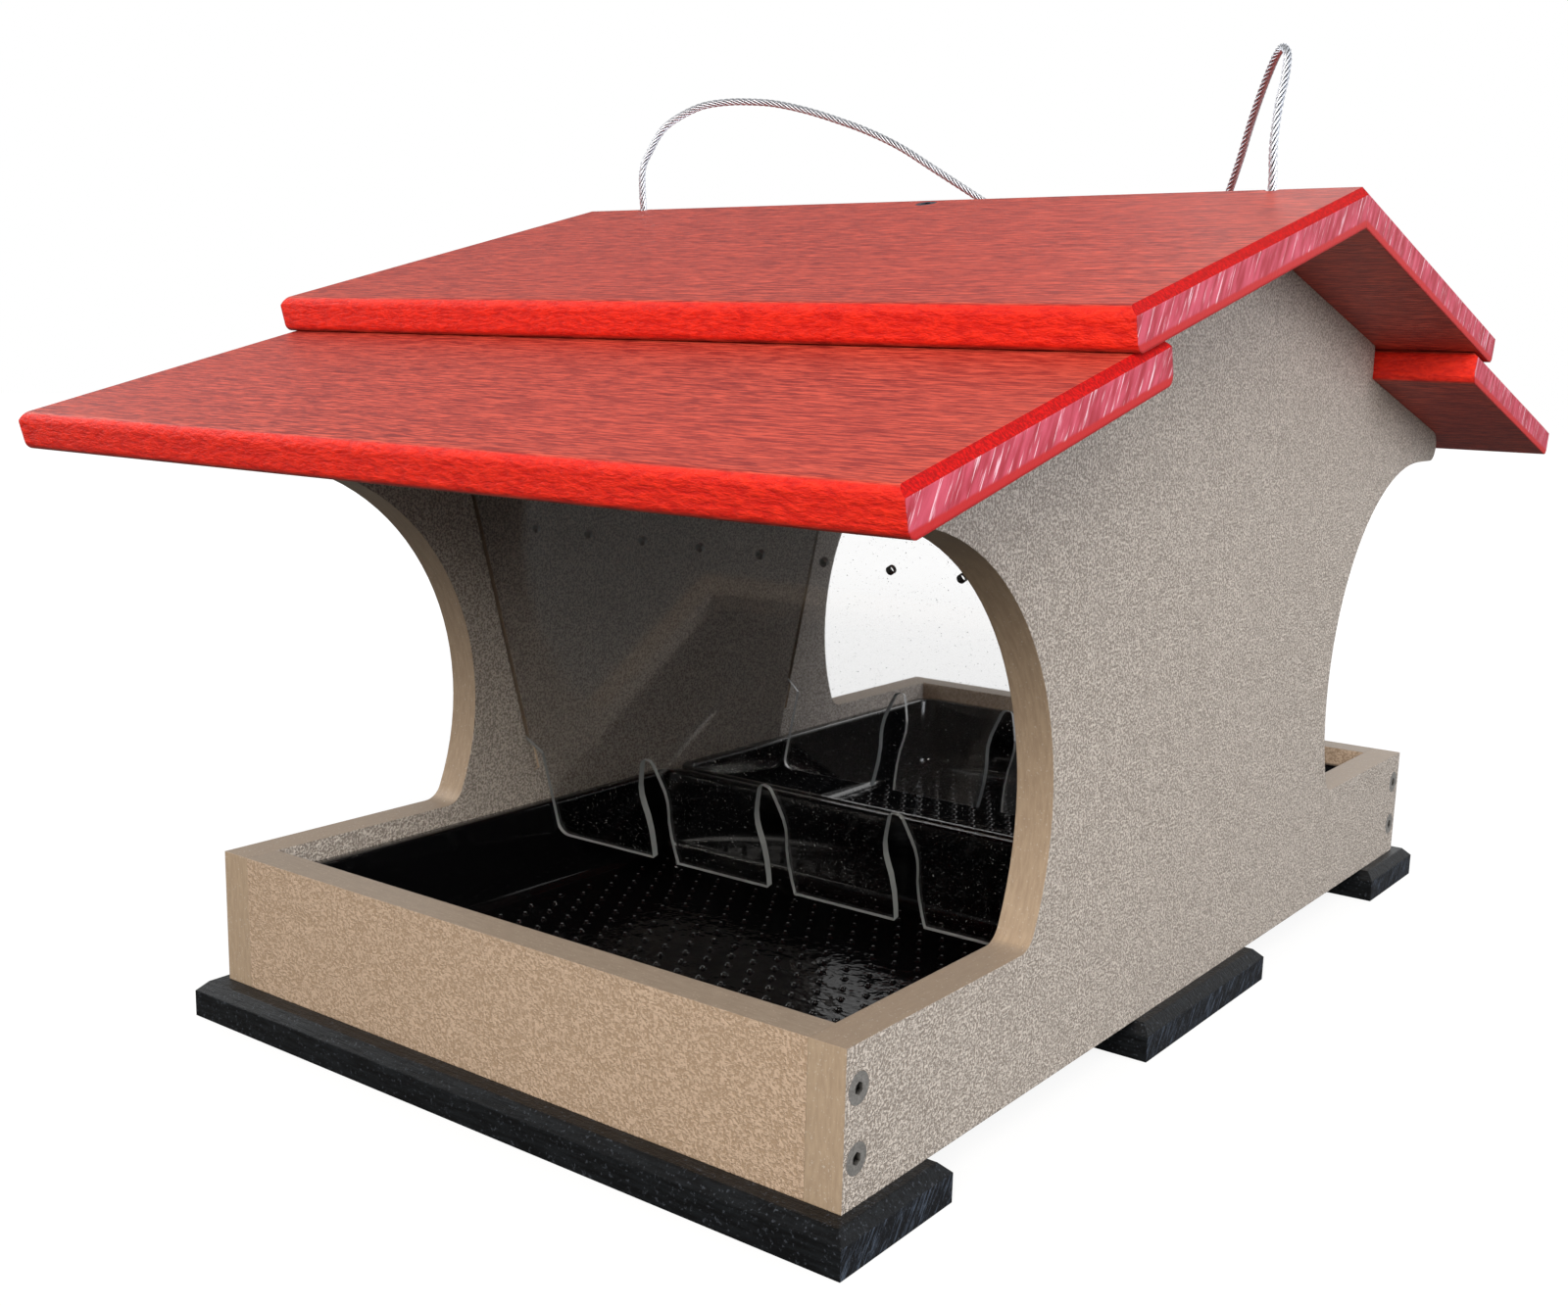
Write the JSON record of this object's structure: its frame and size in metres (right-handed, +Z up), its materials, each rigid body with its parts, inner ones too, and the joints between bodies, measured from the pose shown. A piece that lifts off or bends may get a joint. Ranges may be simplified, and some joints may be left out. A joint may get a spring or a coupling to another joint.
{
  "type": "hopper bird feeder",
  "caption": "Double-sided hopper bird feeder with scooped ends, lift-out trays, clear slotted windows, a stepped lift-off board roof and a wire cable hanger.",
  "frame": {"origin": "centre of the footprint, on the face that the slats stand on", "axes": "X along the ridge with the right-hand end panel at +X, -Y towards the front opening, Z up"},
  "size_m": [0.3482, 0.5416, 0.3464],
  "materials": {
    "panel_plastic": "taupe recycled polyethylene board, orange-peel skin",
    "rail_plastic": "tan recycled polyethylene board, orange-peel skin",
    "roof_plastic": "red recycled polyethylene board, streaked skin with bevelled sawn ends",
    "slat_plastic": "charcoal recycled polyethylene board, bevelled edges",
    "tray_plastic": "black moulded plastic, glossy",
    "clear_plastic": "clear sheet, polished cut edges",
    "screw_steel": "stainless steel, dull",
    "cable_steel": "bare steel wire rope, seven laid strands"
  },
  "bodies": {
    "base": {"right_end_panel": "panel_plastic", "left_end_panel": "panel_plastic", "front_rail": "rail_plastic", "rear_rail": "rail_plastic", "front_slat": "slat_plastic", "middle_slat": "slat_plastic", "rear_slat": "slat_plastic", "rail_screws": "screw_steel", "slat_screws": "screw_steel", "cable_tails": "cable_steel", "cable_ferrules": "cable_steel"},
    "front_window": {"front_window": "clear_plastic"},
    "rear_window": {"rear_window": "clear_plastic"},
    "front_tray": {"front_tray": "tray_plastic"},
    "rear_tray": {"rear_tray": "tray_plastic"},
    "roof": {"front_upper_board": "roof_plastic", "rear_upper_board": "roof_plastic", "front_lower_board": "roof_plastic", "rear_lower_board": "roof_plastic", "ridge_cleat": "roof_plastic", "cleat_screws": "screw_steel", "ridge_screw": "screw_steel", "lap_screws": "screw_steel", "hanging_cable": "cable_steel"}
  },
  "joints": [
    {"name": "roof_lift", "type": "slide", "parent": "base", "child": "roof", "axis": [0, 0, 1], "range_m": [0, 0.15]},
    {"name": "front_window_lift", "type": "slide", "parent": "base", "child": "front_window", "axis": [0, -0.2756, 0.9613], "range_m": [0, 0.12]},
    {"name": "rear_window_lift", "type": "slide", "parent": "base", "child": "rear_window", "axis": [0, 0.2756, 0.9613], "range_m": [0, 0.12]},
    {"name": "front_tray_lift", "type": "slide", "parent": "base", "child": "front_tray", "axis": [0, 0, 1], "range_m": [0, 0.05]},
    {"name": "rear_tray_lift", "type": "slide", "parent": "base", "child": "rear_tray", "axis": [0, 0, 1], "range_m": [0, 0.05]}
  ],
  "couplings": [
    {"joint": "front_window_lift", "follows": "roof_lift", "ratio": 0.75},
    {"joint": "rear_window_lift", "follows": "roof_lift", "ratio": 0.75},
    {"joint": "front_tray_lift", "follows": "roof_lift", "ratio": 0.3},
    {"joint": "rear_tray_lift", "follows": "roof_lift", "ratio": 0.3}
  ]
}
